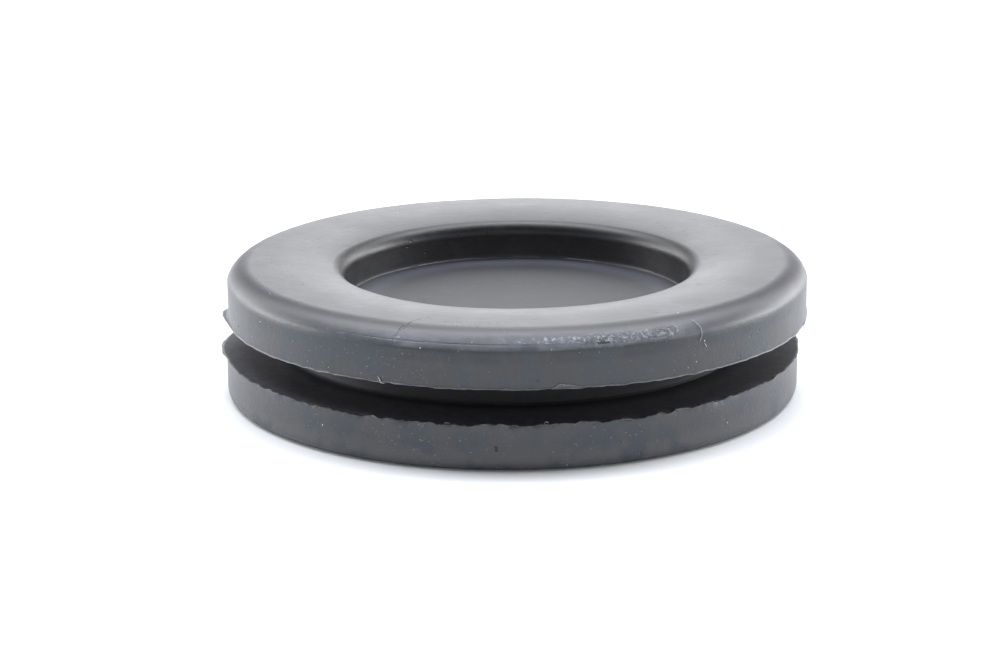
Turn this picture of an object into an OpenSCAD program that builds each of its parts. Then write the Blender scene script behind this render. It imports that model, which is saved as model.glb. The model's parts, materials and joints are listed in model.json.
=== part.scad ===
// Blind rubber grommet, compression moulded in one piece.
// It is one section turned around Z, and it rests on Z = 0. The panel sits in
// the groove between the two flanges, and a membrane closes the bore until a
// cable is pushed through it. The mould parts at both lips of the groove, so
// the lips are sharp and the other edges are rounded. All sizes are in mm.

/* [Flanges] */
// Outside diameter of the upper flange
upper_flange_d = 32; // [26.6:0.1:42]
// Outside diameter of the lower flange
lower_flange_d = 31.7; // [26.4:0.1:42]
// Thickness of the upper flange, from the groove to the top face
upper_flange_t = 2.95; // [1.6:0.05:6]
// Thickness of the lower flange, from the resting face to the groove
lower_flange_t = 2.5; // [1:0.05:6]

/* [Panel groove] */
// Width of the groove, which grips the panel
groove_w = 1.85; // [0.6:0.05:6]
// Diameter of the hub inside the groove, which fills the panel's hole
hub_d = 25; // [20:0.1:30]
// Fillet where the hub meets each flange
groove_fillet_r = 0.3; // [0.05:0.05:1]

/* [Bore and membrane] */
// Diameter of the bore, above and below the membrane
bore_d = 19.1; // [8:0.1:22.4]
// Depth of the membrane's upper face below the top face
upper_recess_depth = 2.45; // [1:0.05:5]
// Thickness of the membrane
membrane_t = 1.5; // [0.5:0.05:4]
// Fillet where the membrane meets the wall of the bore
membrane_fillet_r = 0.15; // [0.05:0.05:0.6]

/* [Dished top] */
// Width of the shallow dish in the top face, from the bore out to the level ring
dish_w = 3.5; // [1.5:0.1:5]
// Radius of the dish's section; a larger one falls less towards the bore
dish_r = 13; // [10:0.5:60]

/* [Rounded edges] */
// Rounding where each face of the grommet turns into the bore
mouth_r = 0.8; // [0.2:0.05:3]
// Radius of the shoulder that rolls the top face over at its outer edge
shoulder_r = 1.45; // [1.25:0.05:6]
// Width of that shoulder, from the level top face out to the crease
shoulder_w = 1.2; // [0.4:0.05:1.4]
// Width of the narrow bevel between the crease and the side wall
bevel_w = 0.12; // [0.04:0.01:0.4]
// Height of that bevel
bevel_h = 0.24; // [0.04:0.01:0.6]
// Rounding of the lower flange's outer edge, at the resting face
foot_r = 0.5; // [0.2:0.05:2.4]

/* [Hidden] */
$fn = 180;
overlap = 0.05; // how far joined shapes and cutters run past each other
land = 0.1; // least straight wall or face left beside a rounding
proud = 0.003; // how far the mouth's arc is set outside true tangency, to cross the dish cleanly

rubber = [0.2, 0.2, 0.22];

upper_flange_r = upper_flange_d / 2;
lower_flange_r = lower_flange_d / 2;
hub_r = hub_d / 2;
bore_r = bore_d / 2;

// Heights, from the resting face up
lower_lip_z = lower_flange_t;
upper_lip_z = lower_lip_z + groove_w;
top_z = upper_lip_z + upper_flange_t;
membrane_top_z = top_z - upper_recess_depth;
membrane_base_z = membrane_top_z - membrane_t;

// The crease, where the shoulder's arc meets the bevel under it
crease_r = upper_flange_r - bevel_w;
shoulder_start_r = crease_r - shoulder_w;
shoulder_drop = shoulder_r - sqrt(shoulder_r * shoulder_r - shoulder_w * shoulder_w);
crease_z = top_z - shoulder_drop;

// The dish falls from the level ring to the bore along one arc
dish_start_r = min(bore_r + dish_w, shoulder_start_r - land);
dish_fall = dish_r - sqrt(dish_r * dish_r - pow(dish_start_r - bore_r, 2));

// Roundings, each as large as its own walls leave room for
groove_edge_r = min(groove_fillet_r, (groove_w - land) / 2);
foot_edge_r = min(foot_r, lower_flange_t - land);
upper_mouth_r = min(
    mouth_r,
    upper_recess_depth - dish_fall - membrane_fillet_r - land,
    dish_start_r - bore_r - land
);
lower_mouth_r = min(
    mouth_r,
    membrane_base_z - membrane_fillet_r - land,
    lower_flange_r - foot_edge_r - bore_r - land
);

// The upper mouth's arc runs from the bore's wall to the dish, and ends where both slope alike
dish_slope = asin((dish_start_r - bore_r - upper_mouth_r) / (dish_r - upper_mouth_r));
mouth_end_r = dish_start_r - dish_r * sin(dish_slope);
mouth_centre_z = top_z - dish_r + (dish_r - upper_mouth_r) * cos(dish_slope) + proud;

// Point on the bevel's line: 0 is its foot on the side wall, 1 is the crease
function bevel_point(k) = [upper_flange_r - k * bevel_w, crease_z - (1 - k) * bevel_h];

// The area between a square corner at the origin and the arc that rounds it.
// It lies in the quadrant that starts at the given turn. It is cut from an
// outside corner, or added in an inside one.
module spandrel(r, turn) {
    rotate(turn) difference() {
        translate([-overlap, -overlap]) square(r + overlap);
        translate([r, r]) circle(r);
    }
}

// Half section of the flanges, hub and membrane, with every corner square
module square_section() {
    translate([0, membrane_base_z]) square([bore_r + overlap, membrane_t]);
    translate([bore_r, 0]) square([hub_r - bore_r, top_z]);
    translate([bore_r, 0]) square([lower_flange_r - bore_r, lower_flange_t]);
    translate([bore_r, upper_lip_z]) square([upper_flange_r - bore_r, upper_flange_t]);
}

// Fillets in the inside corners, at the membrane and in the panel groove
module inside_fillets() {
    translate([bore_r, membrane_top_z]) spandrel(membrane_fillet_r, 90);
    translate([bore_r, membrane_base_z]) spandrel(membrane_fillet_r, 180);
    translate([hub_r, lower_lip_z]) spandrel(groove_edge_r, 0);
    translate([hub_r, upper_lip_z]) spandrel(groove_edge_r, -90);
}

// What the shoulder and the bevel under it take off the upper flange
module shoulder_waste() {
    difference() {
        translate([shoulder_start_r, crease_z - bevel_h])
            square([shoulder_w + bevel_w + overlap, shoulder_drop + bevel_h + overlap]);
        translate([shoulder_start_r, top_z - shoulder_r]) circle(shoulder_r);
    }
    polygon([bevel_point(-1), bevel_point(4), [upper_flange_r + bevel_w, bevel_point(4)[1]]]);
}

// What the dish and the bore's upper mouth take off the top face
module dish_waste() {
    difference() {
        translate([bore_r - overlap, top_z - dish_fall - overlap])
            square([dish_start_r - bore_r + overlap, dish_fall + 2 * overlap]);
        translate([dish_start_r, top_z - dish_r]) circle(dish_r);
    }
    difference() {
        translate([bore_r - overlap, mouth_centre_z])
            square([mouth_end_r - bore_r + overlap, top_z - mouth_centre_z]);
        translate([bore_r + upper_mouth_r, mouth_centre_z]) circle(upper_mouth_r);
    }
}

// What the bore's lower mouth and the foot lose to their roundings
module outside_waste() {
    translate([bore_r, 0]) spandrel(lower_mouth_r, 0);
    translate([lower_flange_r, 0]) spandrel(foot_edge_r, 90);
}

module half_section() {
    difference() {
        union() {
            square_section();
            inside_fillets();
        }
        shoulder_waste();
        dish_waste();
        outside_waste();
    }
}

module grommet() {
    color(rubber) rotate_extrude() half_section();
}

grommet();
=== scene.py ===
import json
import math

import bmesh
import bpy
from mathutils import Matrix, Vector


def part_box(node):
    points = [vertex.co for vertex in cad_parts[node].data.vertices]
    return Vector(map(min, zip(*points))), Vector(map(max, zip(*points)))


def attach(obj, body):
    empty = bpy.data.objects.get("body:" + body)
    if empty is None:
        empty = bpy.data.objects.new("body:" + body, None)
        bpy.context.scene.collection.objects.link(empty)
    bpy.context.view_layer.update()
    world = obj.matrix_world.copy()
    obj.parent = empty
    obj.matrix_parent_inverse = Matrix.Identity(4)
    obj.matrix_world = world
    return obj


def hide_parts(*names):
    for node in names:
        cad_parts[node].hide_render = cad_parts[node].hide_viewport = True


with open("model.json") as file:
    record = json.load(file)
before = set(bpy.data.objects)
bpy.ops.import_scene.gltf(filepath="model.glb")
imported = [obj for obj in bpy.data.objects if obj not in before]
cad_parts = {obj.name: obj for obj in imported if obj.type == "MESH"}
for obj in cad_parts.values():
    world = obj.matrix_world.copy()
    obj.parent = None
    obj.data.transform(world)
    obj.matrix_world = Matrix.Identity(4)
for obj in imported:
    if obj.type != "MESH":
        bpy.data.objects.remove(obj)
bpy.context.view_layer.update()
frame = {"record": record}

# ---------------------------------------------------------------- the moulding
# One ring of black rubber, cured under pressure between two mould halves that
# part at the lips of the panel groove. The halves sat a little out of line, so
# the lower flange lies to one side, and both lips tore as the ring came out.

MM = 0.001
flange_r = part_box("grommet")[1].x / MM
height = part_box("grommet")[1].z / MM
mounts = {m["name"]: m for m in frame["record"]["mounts"]}
groove = mounts["panel_groove"]
bore_r = mounts["lower_bore"]["dims"]["r_mm"]
hub_r = groove["dims"]["r_mm"]
lower_lip_z = groove["pos_m"][2] / MM - groove["dims"]["length_mm"] / 2
upper_lip_z = lower_lip_z + groove["dims"]["length_mm"]
lower_flange_r = 15.85
recess_depth, membrane_t = 2.45, 1.5
membrane_top = height - recess_depth
membrane_base = membrane_top - membrane_t
membrane_fillet = 0.15
groove_fillet = 0.3
mouth_r = 0.8
foot_r = 0.5
bevel_w, bevel_h = 0.12, 0.24
shoulder_r, shoulder_w = 1.45, 1.2
dish_w, dish_r = 3.5, 13
mould_slip = -0.3  # how far the lower mould half lay out of line, along X


def arc(centre_r, centre_z, radius, start, stop, steps):
    """Points of an arc in the section's plane, from one angle to another in degrees."""
    turn = [math.radians(start + (stop - start) * i / steps) for i in range(steps + 1)]
    return [(centre_r + radius * math.cos(a), centre_z + radius * math.sin(a)) for a in turn]


def line(start, stop, steps):
    """Points between two corners, without the corners themselves."""
    shares = [i / steps for i in range(1, steps)]
    return [tuple(a + (b - a) * s for a, b in zip(start, stop)) for s in shares]


# Rows of points at a torn lip, as (inwards, away from the groove) in mm, and how
# freely each one moves. The fourth stands proud, and the flash grows from it.
lip_rows = [
    (0.3, 0, 0.0),
    (0.12, 0, 0.25),
    (0.03, 0, 0.8),
    (-0.02, 0.015, 1.0),
    (0, 0.08, 0.75),
    (0, 0.16, 0.4),
    (0, 0.3, 0.0),
]
flash_row = 3
upper_lip = [(flange_r - i, upper_lip_z + a) for i, a, _ in lip_rows]
lower_lip = [(lower_flange_r - i, lower_lip_z - a) for i, a, _ in lip_rows]
looseness = {
    point: row[2] for lip in (upper_lip, lower_lip) for point, row in zip(lip, lip_rows)
}

shoulder_slope = math.degrees(math.asin(shoulder_w / shoulder_r))
shoulder_drop = shoulder_r * (1 - math.cos(math.radians(shoulder_slope)))
crease = (flange_r - bevel_w, height - shoulder_drop)
bevel_foot = (flange_r, crease[1] - bevel_h)
crease_z, bevel_foot_z = crease[1], bevel_foot[1]
shoulder_start = crease[0] - shoulder_w

dish_start = bore_r + dish_w
dish_slope = math.degrees(math.asin((dish_w - mouth_r) / (dish_r - mouth_r)))
mouth_z = height - dish_r + (dish_r - mouth_r) * math.cos(math.radians(dish_slope))
lower_fillet = (bore_r - membrane_fillet, membrane_base - membrane_fillet, membrane_fillet)
upper_fillet = (bore_r - membrane_fillet, membrane_top + membrane_fillet, membrane_fillet)

# The section in order, from under the membrane round to its upper face. Most
# surfaces are stored as weights on their points, for the colours of the skin.
surfaces = {
    "under_membrane": [(0, membrane_base), (4.5, membrane_base)],
    "lower_bore": arc(*lower_fillet, 90, 0, 2)
    + arc(bore_r + mouth_r, mouth_r, mouth_r, 180, 270, 5),
    "resting_face": line((bore_r + mouth_r, 0), (lower_flange_r - foot_r, 0), 3),
    "lower_wall": arc(lower_flange_r - foot_r, foot_r, foot_r, 270, 360, 7)
    + line((lower_flange_r, foot_r), lower_lip[-1], 5)
    + lower_lip[: flash_row - 1 : -1],
    "groove": lower_lip[flash_row - 1 :: -1]
    + arc(hub_r + groove_fillet, lower_lip_z + groove_fillet, groove_fillet, 270, 180, 3)
    + arc(hub_r + groove_fillet, upper_lip_z - groove_fillet, groove_fillet, 180, 90, 3)
    + upper_lip[:flash_row],
    "upper_wall": upper_lip[flash_row:] + line(upper_lip[-1], bevel_foot, 5) + [bevel_foot],
    "shoulder": arc(shoulder_start, height - shoulder_r, shoulder_r, 90 - shoulder_slope, 90, 10),
    "top": arc(dish_start, height - dish_r, dish_r, 90, 90 + dish_slope, 8),
    "bore": arc(bore_r + mouth_r, mouth_z, mouth_r, 90 + dish_slope, 180, 9)[1:]
    + arc(*upper_fillet, 0, -90, 3)[:2],
    "membrane": arc(*upper_fillet, 0, -90, 3)[2:]
    + line((bore_r - membrane_fillet, membrane_top), (0, membrane_top), 6)
    + [(0, membrane_top)],
}
section = [point for points in surfaces.values() for point in points]

# The section stands on a small circle, because a sweep needs a path with a
# size. Its height is stored downwards, as the sweep lays a profile.
path_r = 1.0
outline = bpy.data.meshes.new("grommet_section")
outline.from_pydata(
    [((r - path_r) * MM, -z * MM, 0) for r, z in section],
    [(i, i + 1) for i in range(len(section) - 1)],
    [],
)
coloured = ("lower_wall", "upper_wall", "shoulder", "top", "bore")
weights = {
    name: [float(name == owner) for owner, points in surfaces.items() for _ in points]
    for name in (*coloured, "groove")
}
weights["lip"] = [looseness.get(p, 0.0) for p in section]
# The lower lip tore more than the upper one did
upper_tear = 0.4
weights["tear"] = [
    free * (upper_tear if p in upper_lip else 1.0) for free, p in zip(weights["lip"], section)
]
weights["upper flash"] = [float(p == upper_lip[flash_row]) for p in section]
weights["lower flash"] = [float(p == lower_lip[flash_row]) for p in section]
for name, values in weights.items():
    outline.attributes.new(name, "FLOAT", "POINT").data.foreach_set("value", values)


def add(tree, kind, inputs=(), **settings):
    """Adds a node with its settings and links, and returns its outputs.

    Each input is a value to set or an output to link.
    """
    node = tree.nodes.new(kind)
    for name, value in settings.items():
        setattr(node, name, value)
    for key, value in dict(inputs).items():
        if isinstance(value, bpy.types.NodeSocket):
            tree.links.new(value, node.inputs[key])
        else:
            node.inputs[key].default_value = value
    return node.outputs


def cover(tree, *limits):
    """Limits multiplied together, such as how far a mark reaches over the skin.

    A limit is a share, an output, or (value, start, end), a smooth step from 0
    to 1. The step may end with its own shares for before and after.
    """
    shares = []
    for limit in limits:
        if isinstance(limit, tuple):
            step = dict(enumerate((*limit, 0.0, 1.0)[:5]))
            limit = add(tree, "ShaderNodeMapRange", step, interpolation_type="SMOOTHSTEP")[0]
        shares.append(limit)
    reached = shares[0]
    for share in shares[1:]:
        reached = add(tree, "ShaderNodeMath", {0: reached, 1: share}, operation="MULTIPLY")[0]
    return reached


def between(value, low, high, soft):
    """The two limits of a stretch with soft ends."""
    return (value, low - soft, low + soft), (value, high - soft, high + soft, 1.0, 0.0)


def built_up(tree, start, *parts):
    """A start value with parts added to it, each a (share, value)."""
    for share, value in parts:
        terms = {0: value, 1: share, 2: start}
        start = add(tree, "ShaderNodeMath", terms, operation="MULTIPLY_ADD")[0]
    return start


def grown(geometry, tree, name, **values):
    """A plain mesh object that the tree makes from the geometry it is given."""
    host = bpy.data.objects.new(name, geometry)
    bpy.context.collection.objects.link(host)
    growth = host.modifiers.new(name, "NODES")
    growth.node_group = tree
    sockets = {s.name: s.identifier for s in tree.interface.items_tree if s.in_out == "INPUT"}
    for key, value in values.items():
        growth[sockets[key.replace("_", " ")]] = value
    graph = bpy.context.evaluated_depsgraph_get()
    mesh = bpy.data.meshes.new_from_object(host.evaluated_get(graph))
    host.modifiers.remove(growth)
    host.data = mesh
    mesh.name = name
    return host


def new_tree(name, **sockets):
    """A Geometry Nodes tree with these inputs, and the outputs that give them."""
    tree = bpy.data.node_groups.new(name, "GeometryNodeTree")
    tree.interface.new_socket("Geometry", in_out="INPUT", socket_type="NodeSocketGeometry")
    for key, kind in sockets.items():
        tree.interface.new_socket(
            key.replace("_", " "), in_out="INPUT", socket_type="NodeSocket" + kind
        )
    tree.interface.new_socket("Geometry", in_out="OUTPUT", socket_type="NodeSocketGeometry")
    return tree, add(tree, "NodeGroupInput")


def finish_tree(tree, given, geometry, patch=None):
    """Ends a tree with its material, and a patch's own one, on real geometry."""
    real = add(tree, "GeometryNodeRealizeInstances", {0: geometry})[0]
    dressed = add(tree, "GeometryNodeSetMaterial", {0: real, 2: given["Material"]})[0]
    if patch is not None:
        patched = {0: dressed, 1: patch, 2: given["Patch material"]}
        dressed = add(tree, "GeometryNodeSetMaterial", patched)[0]
    add(tree, "NodeGroupOutput", {0: dressed})


def linear(hex_colour):
    """Linear RGBA of an sRGB hex colour."""
    parts = [int(hex_colour[i : i + 2], 16) / 255 for i in (1, 3, 5)]
    return (*[p / 12.92 if p <= 0.04045 else ((p + 0.055) / 1.055) ** 2.4 for p in parts], 1)


def coated(tree, ground, *coats):
    """A ground colour with coats laid over it in turn, each a (cover, colour)."""
    colour = linear(ground)
    for share, coat in coats:
        over = linear(coat) if isinstance(coat, str) else coat
        colour = add(tree, "ShaderNodeMix", {0: share, 6: colour, 7: over}, data_type="RGBA")[2]
    return colour


def place_in(tree):
    """Where a point of the piece is, in mm."""
    metres = add(tree, "ShaderNodeTexCoord")["Object"]
    return add(tree, "ShaderNodeVectorMath", {0: metres, 3: 1 / MM}, operation="SCALE")[0]


# Carbon-black filled rubber, moulded against turned steel. Its skin is a dull
# near-black with a faint blue-grey bloom where wax and handling reach it. The
# bloom is thickest on the walls, and thin down in the bore and on the membrane.
rubber = bpy.data.materials.new("moulded_black_rubber")
rubber.use_nodes = True
skin = rubber.node_tree
shade = skin.nodes["Principled BSDF"]

# Where a point is, in mm: its radius, its height, and its distance along the
# flange's edge from -Y towards +X
place = place_in(skin)
across, ahead, level = add(skin, "ShaderNodeSeparateXYZ", {0: place})
flat = add(skin, "ShaderNodeVectorMath", {0: place, 1: (1, 1, 0)}, operation="MULTIPLY")[0]
radius = add(skin, "ShaderNodeVectorMath", {0: flat}, operation="LENGTH")["Value"]
towards_front = built_up(skin, 0.0, (-1.0, ahead))
bearing = add(skin, "ShaderNodeMath", {0: across, 1: towards_front}, operation="ARCTAN2")[0]
along = built_up(skin, 0.0, (flange_r, bearing))
off_front = add(skin, "ShaderNodeMath", {0: along}, operation="ABSOLUTE")[0]
unrolled = add(skin, "ShaderNodeCombineXYZ", {0: along, 1: radius, 2: level})[0]
streak_place, flake_place, ring_place, drag_place = (
    add(skin, "ShaderNodeVectorMath", {0: unrolled, 1: stretch}, operation="MULTIPLY")[0]
    for stretch in ((1, 0, 0.3), (0.5, 1, 1), (0.02, 1, 0), (1, 0, 0.25))
)

# The skin's patterns: where each is read, the size of its features in mm, and
# its detail, roughness and distortion. The grain is drawn at 0.1 mm, because a
# finer one is too small to show.
patterns = {
    "blotches": (place, 2.4, 4.0, 0.6, 0.0),
    "mottle": (place, 0.55, 3.0, 0.6, 0.0),
    "edge patches": (place, 0.8, 3.0, 0.6, 0.0),
    "clean patches": (place, 1.9, 3.0, 0.6, 0.0),
    "blue patches": (place, 2.6, 3.0, 0.6, 0.0),
    "streaks": (streak_place, 0.7, 3.0, 0.65, 0.0),
    "flecks": (unrolled, 0.16, 2.0, 0.6, 0.0),
    "scuffs": (unrolled, 0.15, 3.0, 0.6, 0.0),
    "rubbed patches": (unrolled, 1.2, 3.0, 0.6, 0.0),
    "flakes": (flake_place, 0.2, 4.0, 0.6, 2.0),
    "grain": (place, 0.1, 2.0, 0.6, 0.0),
    "peel": (place, 0.5, 2.0, 0.5, 0.0),
    "tool rings": (ring_place, 0.24, 2.0, 0.7, 0.0),
    "drag marks": (drag_place, 0.3, 2.0, 0.6, 0.0),
    "pit patches": (place, 2.7, 1.0, 0.5, 0.0),
    "chips": (unrolled, 0.17, 2.0, 0.6, 0.0),
}
pattern = {}
for name, (read_at, size, detail, roughness, distortion) in patterns.items():
    drawn = {
        "Vector": read_at,
        "Scale": 1 / size,
        "Detail": detail,
        "Roughness": roughness,
        "Distortion": distortion,
    }
    pattern[name] = add(skin, "ShaderNodeTexNoise", drawn)[0]
mottle, flakes = pattern["mottle"], pattern["flakes"]

# How far a point belongs to each surface, to a flash, or to the flange's edge
on = {
    name: add(skin, "ShaderNodeAttribute", attribute_name=name)["Fac"]
    for name in (*coloured, "upper flash", "lower flash")
}
on_wall = built_up(skin, on["upper_wall"], (1.0, on["lower_wall"]))
on_edge = cover(skin, (radius, 14.3, 14.6))
on_membrane = cover(skin, (radius, bore_r - 0.5, bore_r - 0.05, 1.0, 0.0))

# The membrane is paler in a ring beside the bore's wall. The crease and bevel are
# painted paler, most of all at the front: partly bloom rubbed up by handling and
# partly painted light from above the front. Under them the upper wall is darker in
# patches.
ring_in_recess = cover(
    skin,
    *between(radius, 7.9, bore_r - 0.05, 0.7),
    *between(level, membrane_top - 0.3, membrane_top + 0.2, 0.1),
    0.8,
)
# Partly bloom rubbed up by handling, partly painted light from above the front
edge_bloom_and_painted_light = cover(
    skin,
    (level, bevel_foot_z - 0.13, bevel_foot_z),
    (level, crease_z + 0.1, crease_z + 0.55, 1.0, 0.0),
    on_edge,
    (pattern["edge patches"], 0.3, 0.65, 0.75, 1.0),
    (off_front, 5.0, 13.0, 1.0, 0.1),
)
# The upper wall is darker in patches, in a band under the bevel
darker_under_edge = cover(
    skin,
    on["upper_wall"],
    *between(level, crease_z - 0.95, crease_z - 0.15, 0.2),
    (pattern["clean patches"], 0.35, 0.6, 0.3, 0.8),
)
bloom = built_up(skin, 0.0, (0.65, pattern["blotches"]), (0.35, mottle))
waxed = cover(skin, (bloom, 0.45, 0.75, 0.0, 0.12))
streaked = cover(skin, on_wall, (pattern["streaks"], 0.5, 0.8, 0.0, 0.07))
blued = cover(skin, on_wall, (pattern["blue patches"], 0.48, 0.62, 0.0, 0.6))

# Fine pale flecks of the release powder, thickest on the left of the front
thicker = cover(skin, *between(along, -8.5, -3.5, 2.0))
fleck_amount = built_up(skin, pattern["flecks"], (0.035, thicker))
flecked = cover(skin, on_wall, (fleck_amount, 0.66, 0.74, 0.0, 0.32))

# The thin edges of the flash let a little light through and look paler
lower_edge = cover(skin, on["lower flash"], (mottle, 0.45, 0.6))
thin_edge = cover(skin, built_up(skin, on["upper flash"], (1.0, lower_edge)), 0.75)

# Where the front of the flange has rubbed, the crease carries short pale
# scuffs, and further round the skin is crazed into flakes with cracks between
scuffed = cover(
    skin,
    on_edge,
    *between(along, -0.6, 7.0, 0.8),
    *between(level, crease_z + 0.02, crease_z + 0.24, 0.08),
    (pattern["scuffs"], 0.48, 0.64),
    (mottle, 0.36, 0.52),
)
rubbed = cover(
    skin,
    on_edge,
    *between(along, 3.2, 8.4, 0.7),
    *between(level, crease_z - 0.14, crease_z + 0.24, 0.12),
    (pattern["rubbed patches"], 0.34, 0.55),
)
flaked = cover(skin, rubbed, (flakes, 0.52, 0.62))
silvered = built_up(skin, 0.0, (0.9, scuffed), (0.4, flaked))
from_rim = built_up(skin, -0.46, (1.0, flakes))
flake_rim = add(skin, "ShaderNodeMath", {0: from_rim}, operation="ABSOLUTE")[0]
squiggles = cover(skin, rubbed, (flake_rim, 0.012, 0.04, 1.0, 0.0))

# A dark gouge among the flakes, lens-shaped and under 1 mm long, which the
# flakes' pattern frays at its rim
gouge_centre = (4.35, 0, crease_z - 0.08)
gouge_half_length, gouge_half_height = 0.5, 0.08165
gouge_scale = (1 / gouge_half_length, 0, 1 / gouge_half_height)
from_gouge = add(skin, "ShaderNodeVectorMath", {0: unrolled, 1: gouge_centre}, operation="SUBTRACT")[0]
gouge_place = add(skin, "ShaderNodeVectorMath", {0: from_gouge, 1: gouge_scale}, operation="MULTIPLY")[0]
with_itself = {0: gouge_place, 1: gouge_place}
gouge_form = add(skin, "ShaderNodeVectorMath", with_itself, operation="DOT_PRODUCT")["Value"]
gouge = cover(skin, on_edge, (built_up(skin, gouge_form, (1.2, flakes)), 0.9, 1.4, 1.0, 0.0))
torn_open = {0: gouge, 1: cover(skin, squiggles, 0.8)}
scraped = add(skin, "ShaderNodeMath", torn_open, operation="MAXIMUM")[0]

# A faint furrow where the shoulder's tool stopped, along the left of the crease
off_furrow = built_up(skin, -crease_z - 0.03, (1.0, level), (0.1, mottle))
furrow_line = add(skin, "ShaderNodeMath", {0: off_furrow}, operation="ABSOLUTE")[0]
furrow = cover(
    skin,
    (furrow_line, 0.01, 0.06, 1.0, 0.0),
    *between(along, -11.0, 2.0, 2.5),
    on["shoulder"],
    (mottle, 0.36, 0.55, 0.25, 1.0),
)

# A small dark nick low on the front, and a fine crack across the shoulder
nick = cover(
    skin,
    *between(built_up(skin, along, (0.15, level)), -0.98, -0.84, 0.03),
    *between(level, 1.12, 1.34, 0.04),
    on["lower_wall"],
)
off_crack = built_up(skin, 0.35, (1.0, along), (0.35, radius), (0.8, mottle))
crack_line = add(skin, "ShaderNodeMath", {0: off_crack}, operation="ABSOLUTE")[0]
crack = cover(skin, (crack_line, 0.02, 0.09, 1.0, 0.0), (radius, 13.6, 14.4), on["shoulder"])

# The colours from the ground up. Near the foot the lower wall is painted paler:
# painted light bounced up from the table.
lower_wall_with_painted_bounce = coated(skin, "#4a4a4d", (cover(skin, (level, 0.3, 1.6)), "#37373a"))
skin_colour = coated(
    skin,
    "#111114",
    (on_membrane, "#10141c"),
    (on["upper_wall"], "#303033"),
    (on["lower_wall"], lower_wall_with_painted_bounce),
    (on["bore"], "#121216"),
    (on["shoulder"], "#2f2f34"),
    (on["top"], "#2c2c2f"),
    (ring_in_recess, "#3b3e46"),
    (edge_bloom_and_painted_light, "#6e7077"),
    (darker_under_edge, "#1b2126"),
    (waxed, "#5b5c60"),
    (streaked, "#5d5e62"),
    (blued, "#26313a"),
    (flecked, "#8d9096"),
    (thin_edge, "#83858b"),
    (silvered, "#a4abb6"),
    (cover(skin, furrow, 0.5), "#26282c"),
    (scraped, "#101114"),
    (cover(skin, nick, 0.7), "#141416"),
)
skin.links.new(skin_colour, shade.inputs["Base Color"])

# Down on the membrane nothing has polished the skin, so its sheen is duller
dullness = built_up(skin, 0.3, (0.18, bloom), (0.11, on_membrane))
skin.links.new(dullness, shade.inputs["Roughness"])
shade.inputs["IOR"].default_value = 1.5

# Relief in mm: the skin's grain, faint rings from the turned mould on the top,
# drag marks up the walls from demoulding, small pits, a cluster of chips on the
# front of the top face, and the marks from above.
pits_per_mm = 1.3
cells = add(skin, "ShaderNodeTexVoronoi", {"Vector": place, "Scale": pits_per_mm}, feature="F1")
pits = cover(skin, (cells["Distance"], 0.04, 0.12, 1.0, 0.0), (pattern["pit patches"], 0.5, 0.58))
chipped = cover(
    skin,
    *between(along, -3.6, -0.2, 0.5),
    *between(radius, 13.9, 14.9, 0.25),
    (pattern["chips"], 0.6, 0.68),
)
relief = built_up(
    skin,
    0.0,
    (0.006, pattern["grain"]),
    (0.008, pattern["peel"]),
    (0.008, cover(skin, pattern["tool rings"], on["top"])),
    (0.005, cover(skin, pattern["drag marks"], on_wall)),
    (-0.03, pits),
    (0.012, cover(skin, pattern["flecks"], on_wall)),
    (-0.05, chipped),
    (-0.035, crack),
    (0.2, cover(skin, flakes, rubbed)),
    (-0.02, furrow),
    (-0.05, squiggles),
    (-0.08, gouge),
    (0.02, scuffed),
    (-0.06, nick),
)
embossed = {"Strength": 1.0, "Distance": MM, "Height": relief}
skin.links.new(add(skin, "ShaderNodeBump", embossed)[0], shade.inputs["Normal"])

# Down in the groove the skin came off an unpolished part of the mould. It is
# matt and sooty, and it gives back next to nothing.
groove_rubber = bpy.data.materials.new("matt_groove_rubber")
groove_rubber.use_nodes = True
matt = groove_rubber.node_tree
soot = matt.nodes["Principled BSDF"]
matt_place = place_in(matt)
matt_flat = add(matt, "ShaderNodeVectorMath", {0: matt_place, 1: (1, 1, 0)}, operation="MULTIPLY")[0]
matt_radius = add(matt, "ShaderNodeVectorMath", {0: matt_flat}, operation="LENGTH")["Value"]
patches = add(matt, "ShaderNodeTexNoise", {"Vector": matt_place, "Scale": 1 / 0.6, "Detail": 3.0})[0]
ledge = coated(matt, "#313136", (cover(matt, (patches, 0.35, 0.7)), "#3b3b40"))
sooty = coated(matt, "#18181b", (cover(matt, (matt_radius, hub_r + 0.1, hub_r + 1.2)), ledge))
matt.links.new(sooty, soot.inputs["Base Color"])
soot.inputs["Roughness"].default_value = 0.6
soot.inputs["Specular IOR Level"].default_value = 0.3
pit_grain = add(matt, "ShaderNodeTexNoise", {"Vector": matt_place, "Scale": 1 / 0.12, "Detail": 3.0})[0]
pitted = {"Strength": 1.0, "Distance": MM, "Height": built_up(matt, 0.0, (0.01, pit_grain))}
matt.links.new(add(matt, "ShaderNodeBump", pitted)[0], soot.inputs["Normal"])

# The ring itself: the section is swept once round, then made a little uneven.
# Its lips tore most at the front and the back, where the ring was pulled out.
moulding, given = new_tree(
    "moulded_ring",
    Steps_round="Int",
    Path_radius="Float",
    Unevenness="Float",
    Torn_lips="Float",
    Flash="Float",
    Upper_ear="Float",
    Lower_lobe="Float",
    Mould_mismatch="Float",
    Material="Material",
    Patch_material="Material",
)

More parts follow.
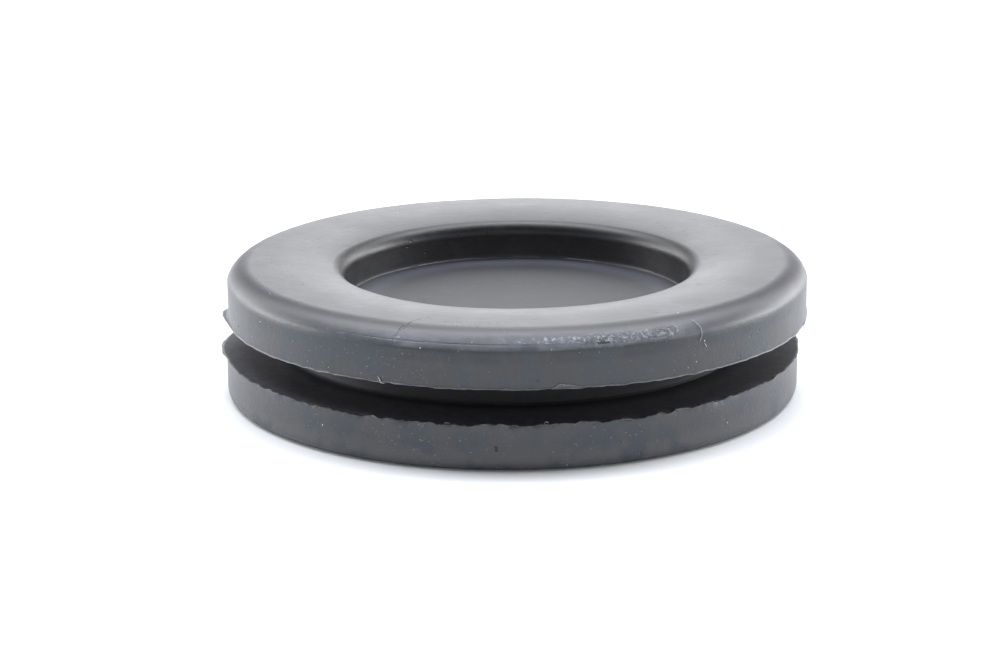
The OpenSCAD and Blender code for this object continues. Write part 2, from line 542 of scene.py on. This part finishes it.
profile = add(moulding, "GeometryNodeMeshToCurve", {0: given["Geometry"]})[0]
path_size = {"Resolution": given["Steps round"], "Radius": given["Path radius"]}
path = add(moulding, "GeometryNodeCurvePrimitiveCircle", path_size)[0]
swept = add(moulding, "GeometryNodeCurveToMesh", {0: path, 1: profile})[0]
closed = add(moulding, "GeometryNodeMergeByDistance", {0: swept, 2: 1e-6})[0]
stored = {
    name: add(moulding, "GeometryNodeInputNamedAttribute", {0: name}, data_type="FLOAT")[0]
    for name in ("groove", "lip", "tear", "upper flash", "lower flash")
}
where = add(moulding, "GeometryNodeInputPosition")[0]
where_x, where_y, height_now = add(moulding, "ShaderNodeSeparateXYZ", {0: where})
flattened = add(moulding, "ShaderNodeVectorMath", {0: where, 1: (1, 1, 0)}, operation="MULTIPLY")[0]
outward = add(moulding, "ShaderNodeVectorMath", {0: flattened}, operation="NORMALIZE")[0]


def pushed(size, detail, amount):
    """A push of uneven direction and strength, in waves of about size mm."""
    waves = {"Vector": where, "Scale": 1 / (size * MM), "Detail": detail}
    centring = {0: add(moulding, "ShaderNodeTexNoise", waves)[1], 1: (0.5, 0.5, 0.5)}
    about_zero = add(moulding, "ShaderNodeVectorMath", centring, operation="SUBTRACT")[0]
    return add(moulding, "ShaderNodeVectorMath", {0: about_zero, 3: amount}, operation="SCALE")[0]


outward_y = add(moulding, "ShaderNodeSeparateXYZ", {0: outward})[1]
fore_and_aft = add(moulding, "ShaderNodeMath", {0: outward_y}, operation="ABSOLUTE")[0]
tearing = cover(moulding, (fore_and_aft, 0.35, 0.95, 0.2, 1.0), given["Torn lips"])
uneven = pushed(5.0, 2.0, given["Unevenness"])
torn = pushed(0.7, 4.0, cover(moulding, stored["tear"], tearing))

# The flash is a thin fringe of uneven width. On the -X side it ends in a small
# pointed ear on the upper lip, above a blunt lobe of the lower one.
fringe_waves = {"Vector": where, "Scale": 1 / (1.1 * MM), "Detail": 5.0}
fringe_noise = add(moulding, "ShaderNodeTexNoise", fringe_waves)[0]
fringe = cover(moulding, (fringe_noise, 0.35, 0.75, 0.35, 1.0), given["Flash"])
front_y = built_up(moulding, 0.0, (-1.0, where_y))
bearing_now = add(moulding, "ShaderNodeMath", {0: where_x, 1: front_y}, operation="ARCTAN2")[0]
turn = add(moulding, "ShaderNodeMath", {0: bearing_now}, operation="DEGREES")[0]


def reach(flash, swelling, body):
    """Outward reach of one lip: its fringe, and a swelling that takes in its body."""
    at_most_one = {0: built_up(moulding, stored[flash], (body, stored["lip"])), 1: 1.0}
    rows = add(moulding, "ShaderNodeMath", at_most_one, operation="MINIMUM")[0]
    return built_up(moulding, cover(moulding, stored[flash], fringe), (rows, swelling))


mid_groove = (lower_lip_z + upper_lip_z) / 2 * MM
upper_half = add(moulding, "ShaderNodeMath", {0: height_now, 1: mid_groove}, operation="GREATER_THAN")[0]
lower_half = built_up(moulding, 1.0, (-1.0, upper_half))
ear_span = (turn, -92.5, -87.5), (turn, -87.5, -76.0, 1.0, 0.0)
ear = cover(moulding, *ear_span, upper_half, given["Upper ear"])
lobe_span = (turn, -99.0, -86.5), (turn, -86.5, -74.0, 1.0, 0.0)
lobe = cover(moulding, *lobe_span, lower_half, given["Lower lobe"])
reaches = built_up(moulding, reach("upper flash", ear, 0.8), (1.0, reach("lower flash", lobe, 0.9)))
flashed = add(moulding, "ShaderNodeVectorMath", {0: outward, 3: reaches}, operation="SCALE")[0]

# Below the parting line everything lies a little to one side, and the face
# that it rests on stays flat
parting = {0: height_now, 1: upper_lip_z * MM, 2: lower_lip_z * MM, 3: 0.0, 4: 1.0}
lowered = add(moulding, "ShaderNodeMapRange", parting)[0]
slipped = cover(moulding, lowered, given["Mould mismatch"])
off_table = cover(moulding, (height_now, 0.0, 0.4 * MM))
pushes = add(moulding, "ShaderNodeVectorMath", {0: uneven, 1: torn}, operation="ADD")[0]
edges = add(moulding, "ShaderNodeVectorMath", {0: pushes, 1: flashed}, operation="ADD")[0]
above_table = add(moulding, "ShaderNodeVectorMath", {0: edges, 3: off_table}, operation="SCALE")[0]
slip = add(moulding, "ShaderNodeCombineXYZ", {0: slipped})[0]
moved = add(moulding, "ShaderNodeVectorMath", {0: slip, 1: above_table}, operation="ADD")[0]
shaped = add(moulding, "GeometryNodeSetPosition", {0: closed, 3: moved})[0]
in_groove = add(moulding, "ShaderNodeMath", {0: stored["groove"], 1: 0.75}, operation="GREATER_THAN")[0]
finish_tree(moulding, given, shaped, patch=in_groove)

grommet = grown(
    outline,
    moulding,
    "moulding",
    Steps_round=1080,
    Path_radius=path_r * MM,
    Unevenness=0.06 * MM,
    Torn_lips=0.5 * MM,
    Flash=0.08 * MM,
    Upper_ear=0.3 * MM,
    Lower_lobe=0.26 * MM,
    Mould_mismatch=mould_slip * MM,
    Material=rubber,
    Patch_material=groove_rubber,
)
grommet.data.flip_normals()
grommet.data.shade_smooth()
grommet.data.set_sharp_from_angle(angle=math.radians(30))
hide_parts("grommet")
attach(grommet, "root")

# ------------------------------------------------------------- torn-off skins
# Shreds of flash that the trimming left hanging on the two lips. Each is a thin
# skin of the same rubber, rooted along the lip and free at its upper edge.
# Start and stop are turns from -Y in degrees, and the rest is in mm: the root's
# radius and height, the free edge's rise and lift, and the mould half's slip.
shreds = [
    (6.0, 12.5, flange_r, upper_lip_z + 0.04, 0.25, 0.05, 0),
    (-3.0, 0.6, flange_r, upper_lip_z + 0.02, 0.1, 0.05, 0),
    (-26.2, -24.8, flange_r, upper_lip_z + 0.02, 0.18, 0.06, 0),
    (17.0, 19.0, flange_r, upper_lip_z + 0.02, 0.08, 0.04, 0),
    (6.2, 13.2, lower_flange_r, lower_lip_z - 0.06, 0.09, 0.05, mould_slip),
    (-12.5, -10.5, lower_flange_r, lower_lip_z - 0.05, 0.13, 0.03, mould_slip),
]
shred_steps = 28
shred_t = 0.01
inner_root, outer_root = (-0.05, -0.02), (0.02, -0.03)
corners, sides = [], []
for start, stop, root_r, root_z, rise, lift, slide in shreds:
    first = len(corners)
    for i in range(shred_steps + 1):
        share = i / shred_steps
        turn_now = math.radians(start + (stop - start) * share)
        ripple = 0.92 + 0.08 * math.cos(share * 23)
        size = max(0.04, min(1.0, 5 * share, 1.6 * (1 - share)) * ripple)
        free_edge = (lift * size, rise * size)
        edge_back = (lift * size + shred_t, rise * size * 0.72)
        for r, z in (inner_root, free_edge, edge_back, outer_root):
            x, y = (root_r + r) * math.sin(turn_now), -(root_r + r) * math.cos(turn_now)
            corners.append(((x + slide) * MM, y * MM, (root_z + z) * MM))
    for i in range(shred_steps):
        a = first + 4 * i
        sides += [(a + k, a + (k + 1) % 4, a + 4 + (k + 1) % 4, a + 4 + k) for k in range(4)]
    last = first + 4 * shred_steps
    sides += [(first + 3, first + 2, first + 1, first), tuple(range(last, last + 4))]
shred_mesh = bpy.data.meshes.new("shreds")
shred_mesh.from_pydata(corners, [], sides)
skins = bpy.data.objects.new("shreds", shred_mesh)
bpy.context.collection.objects.link(skins)
for name, values in (("upper_wall", (1, 1, 1, 1)), ("upper flash", (0, 1, 0.15, 0))):
    shred_mesh.attributes.new(name, "FLOAT", "POINT").data.foreach_set(
        "value", [float(v) for v in values] * (len(corners) // 4)
    )
shred_mesh.materials.append(rubber)
tidy_mesh = bmesh.new()
tidy_mesh.from_mesh(shred_mesh)
bmesh.ops.recalc_face_normals(tidy_mesh, faces=tidy_mesh.faces)
tidy_mesh.to_mesh(shred_mesh)
tidy_mesh.free()
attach(skins, "root")

# -------------------------------------------------------------- settled dust
# Grains of pale dust that cling to the rubber's skin by static, most of them on
# the walls. Each is a small angular crumb of a few hundredths of a millimetre.
# Mineral powder, quite matt, so each grain shows as a small point of grey or white
dust = bpy.data.materials.new("pale_dust")
dust.use_nodes = True
crumb_tree = dust.node_tree
crumb = crumb_tree.nodes["Principled BSDF"]
clumps = {"Vector": place_in(crumb_tree), "Scale": 1 / 0.9, "Detail": 3.0}
clumped = cover(crumb_tree, (add(crumb_tree, "ShaderNodeTexNoise", clumps)[0], 0.35, 0.65))
powdery = coated(crumb_tree, "#85888f", (clumped, "#d9dade"))
crumb_tree.links.new(powdery, crumb.inputs["Base Color"])
crumb.inputs["Roughness"].default_value = 0.9
crumb.inputs["IOR"].default_value = 1.45

dusting, given = new_tree(
    "settled_dust",
    Grains_per_area="Float",
    Grain_radius="Float",
    Smallest="Float",
    Seed="Int",
    Material="Material",
)

# How much dust each surface of the ring holds
dusty = {"upper_wall": 1.0, "lower_wall": 0.8, "shoulder": 0.5, "top": 0.25}
dust_cover = 0.0
for name, share in dusty.items():
    held = add(dusting, "GeometryNodeInputNamedAttribute", {0: name}, data_type="FLOAT")[0]
    dust_cover = built_up(dusting, dust_cover, (share, held))
density = cover(dusting, dust_cover, given["Grains per area"])
sown = {"Mesh": given["Geometry"], "Density": density, "Seed": given["Seed"]}
spots = add(dusting, "GeometryNodeDistributePointsOnFaces", sown)["Points"]
grain_shape = {"Radius": given["Grain radius"], "Subdivisions": 2}
crumb_ball = add(dusting, "GeometryNodeMeshIcoSphere", grain_shape)[0]
any_turn = {0: (0, 0, 0), 1: (6.28, 6.28, 6.28)}
turned = add(dusting, "FunctionNodeRandomValue", any_turn, data_type="FLOAT_VECTOR")[0]
chance = add(dusting, "FunctionNodeRandomValue", {2: 0.0, 3: 1.0}, data_type="FLOAT")[1]
rare = add(dusting, "ShaderNodeMath", {0: chance, 1: 4.0}, operation="POWER")[0]
left_over = built_up(dusting, 1.0, (-1.0, given["Smallest"]))
grain_size = built_up(dusting, given["Smallest"], (left_over, rare))
squashed = {0: (1.0, 0.75, 0.6), 3: grain_size}
crumb_scale = add(dusting, "ShaderNodeVectorMath", squashed, operation="SCALE")[0]
laid = {"Points": spots, "Instance": crumb_ball, "Rotation": turned, "Scale": crumb_scale}
grains = add(dusting, "GeometryNodeInstanceOnPoints", laid)[0]
finish_tree(dusting, given, grains)
specks_of_dust = grown(
    grommet.data.copy(),
    dusting,
    "dust",
    Grains_per_area=5.0e5,
    Grain_radius=0.045 * MM,
    Smallest=0.3,
    Seed=11,
    Material=dust,
)
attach(specks_of_dust, "root")

# ------------------------------------------------------------- stray fibres
# Two short textile fibres that lie on the edge, and two curled threads of flash
# beside the lips. Each is a fine tube that follows the skin.
# Points are (turn from -Y in degrees, radius in mm, height in mm).
fibre_routes = [
    [(34.6, 15.56, 7.05), (35.4, 15.9, 6.76), (35.55, 16.05, 6.4), (35.1, 16.04, 6.02)],
    [(36.2, 16.03, 5.84), (36.5, 16.05, 5.74), (36.7, 16.03, 5.66)],
    [(5.9, 15.8, 2.44), (6.0, 15.84, 2.58), (6.35, 15.86, 2.63), (6.6, 15.86, 2.57)],
    [(-25.9, 16.03, 4.62), (-25.5, 16.06, 4.5), (-25.4, 16.04, 4.36), (-24.7, 16.02, 4.32)],
]
steps_a_span = 8
fibre_points, fibre_edges = [], []
for route in fibre_routes:
    last_span = len(route) - 2
    for span in range(last_span + 1):
        # A smooth curve through the span's two ends, led by the points beyond
        before, after = route[max(0, span - 1)], route[min(last_span + 1, span + 2)]
        ends = [before, route[span], route[span + 1], after]
        for step in range(steps_a_span + (span == last_span)):
            s = step / steps_a_span
            blend = (
                -0.5 * s + s * s - 0.5 * s**3,
                1 - 2.5 * s * s + 1.5 * s**3,
                0.5 * s + 2 * s * s - 1.5 * s**3,
                -0.5 * s * s + 0.5 * s**3,
            )
            turn_now, r, z = (sum(w * p[k] for w, p in zip(blend, ends)) for k in range(3))
            if (span, step) != (0, 0):
                fibre_edges.append((len(fibre_points) - 1, len(fibre_points)))
            a = math.radians(turn_now)
            slide = mould_slip if z < upper_lip_z - 0.5 else 0
            fibre_points.append(((r * math.sin(a) + slide) * MM, -r * math.cos(a) * MM, z * MM))
threads = bpy.data.meshes.new("fibre_lines")
threads.from_pydata(fibre_points, fibre_edges, [])
spinning, given = new_tree("stray_fibres", Fibre_radius="Float", Sides="Int", Material="Material")
lines = add(spinning, "GeometryNodeMeshToCurve", {0: given["Geometry"]})[0]
rim_size = {"Resolution": given["Sides"], "Radius": given["Fibre radius"]}
rim = add(spinning, "GeometryNodeCurvePrimitiveCircle", rim_size)[0]
drawn_out = {"Curve": lines, "Profile Curve": rim, "Fill Caps": True}
tubes = add(spinning, "GeometryNodeCurveToMesh", drawn_out)[0]
finish_tree(spinning, given, tubes)
fibres = grown(threads, spinning, "fibres", Fibre_radius=0.014 * MM, Sides=8, Material=dust)
fibres.data.shade_smooth()
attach(fibres, "root")

# ------------------------------------------------------------ table and studio
# A white table before a bright backdrop, with softboxes overhead, high behind on
# each side and low at both sides. In front there is only a weak one, so the near
# walls stay dark.
table = bpy.data.meshes.new("table")
half_table = 1.5
table.from_pydata(
    [(x * half_table, y * half_table, 0) for x, y in ((-1, -1), (1, -1), (1, 1), (-1, 1))],
    [],
    [(0, 1, 2, 3)],
)
table_top = bpy.data.objects.new("table", table)
bpy.context.collection.objects.link(table_top)
# Uncoated paper, without any sheen, so it shows the grommet's shadow and no more
paper = bpy.data.materials.new("matt_white_paper")
paper.use_nodes = True
paper_shade = paper.node_tree.nodes["Principled BSDF"]
paper_shade.inputs["Base Color"].default_value = linear("#edeff0")
paper_shade.inputs["Roughness"].default_value = 0.9
paper_shade.inputs["Specular IOR Level"].default_value = 0.0
table.materials.append(paper)

# Each soft light: its height and its turn from the back in degrees, its half
# width in degrees, its brightness to the right and to the left, and its tint.
overhead_tint = (0.975, 0.995, 1.05)
low_tint = (0.995, 1.0, 1.01)
rear_tint = (0.98, 0.995, 1.03)
soft_lights = [
    (5, 0, 14, 3.45, 0, rear_tint),
    (24, 0, 8, 2.0, 0, low_tint),
    (33, 0, 8, 3.2, 0, low_tint),
    (46, 0, 14, 2.1, 0, low_tint),
    (62, 0, 12, 1.8, 0, overhead_tint),
    (78, 0, 10, 12.0, 0, overhead_tint),
    (15, 180, 16, 1.45, 0, low_tint),
    (75, 75, 12, 3.4, 3.4, overhead_tint),
    (58, 60, 14, 8.0, 8.2, overhead_tint),
    (32, 50, 16, 2.6, 2.4, low_tint),
    (6, 45, 14, 6.6, 4.9, low_tint),
    (6, 75, 14, 14.6, 12.6, low_tint),
    (6, 105, 14, 3.2, 1.9, low_tint),
    (6, 140, 16, 1.6, 1.3, low_tint),
]
world = bpy.data.worlds.new("studio")
bpy.context.scene.world = world
world.use_nodes = True
sky = world.node_tree
sky.nodes.clear()
looking = add(sky, "ShaderNodeTexCoord")["Generated"]
total = (0, 0, 0)
for lift, turn, width, right, left, tint in soft_lights:
    for side, brightness in ((1, right), (-1, left)):
        if not brightness:
            continue
        e, a = math.radians(lift), math.radians(turn * side)
        aim = (math.sin(a) * math.cos(e), math.cos(a) * math.cos(e), math.sin(e))
        facing = add(sky, "ShaderNodeVectorMath", {0: looking, 1: aim}, operation="DOT_PRODUCT")["Value"]
        sharpness = 2 / math.radians(width) ** 2
        closeness = built_up(sky, -sharpness, (sharpness, facing))
        fall = add(sky, "ShaderNodeMath", {0: closeness}, operation="EXPONENT")[0]
        colour = [brightness * t for t in tint]
        glow = add(sky, "ShaderNodeVectorMath", {0: colour, 3: fall}, operation="SCALE")[0]
        total = add(sky, "ShaderNodeVectorMath", {0: total, 1: glow}, operation="ADD")[0]
lighting = add(sky, "ShaderNodeBackground", {0: total, 1: 1.0})[0]
backdrop = add(sky, "ShaderNodeBackground", {0: (1, 1, 1, 1), 1: 1.5})[0]
seen = add(sky, "ShaderNodeLightPath")["Is Camera Ray"]
mixed = add(sky, "ShaderNodeMixShader", {0: seen, 1: lighting, 2: backdrop})[0]
add(sky, "ShaderNodeOutputWorld", {0: mixed})
bpy.context.scene.view_settings.view_transform = "Standard"

# ----------------------------------------------------------------- the camera
# A long lens, about 140 mm away and 17 degrees above the table.
lens = bpy.data.cameras.new("camera")
lens.lens = 90.8
lens.sensor_width = 36
lens.clip_start = 0.001
camera = bpy.data.objects.new("camera", lens)
bpy.context.collection.objects.link(camera)
pitch, yaw, roll = 15.53, 0.406, -0.47
camera.matrix_world = (
    Matrix.Translation((0, -0.13575, 0.04056))
    @ Matrix.Rotation(math.radians(yaw), 4, "Z")
    @ Matrix.Rotation(math.radians(90 - pitch), 4, "X")
    @ Matrix.Rotation(math.radians(roll), 4, "Z")
)
bpy.context.scene.camera = camera
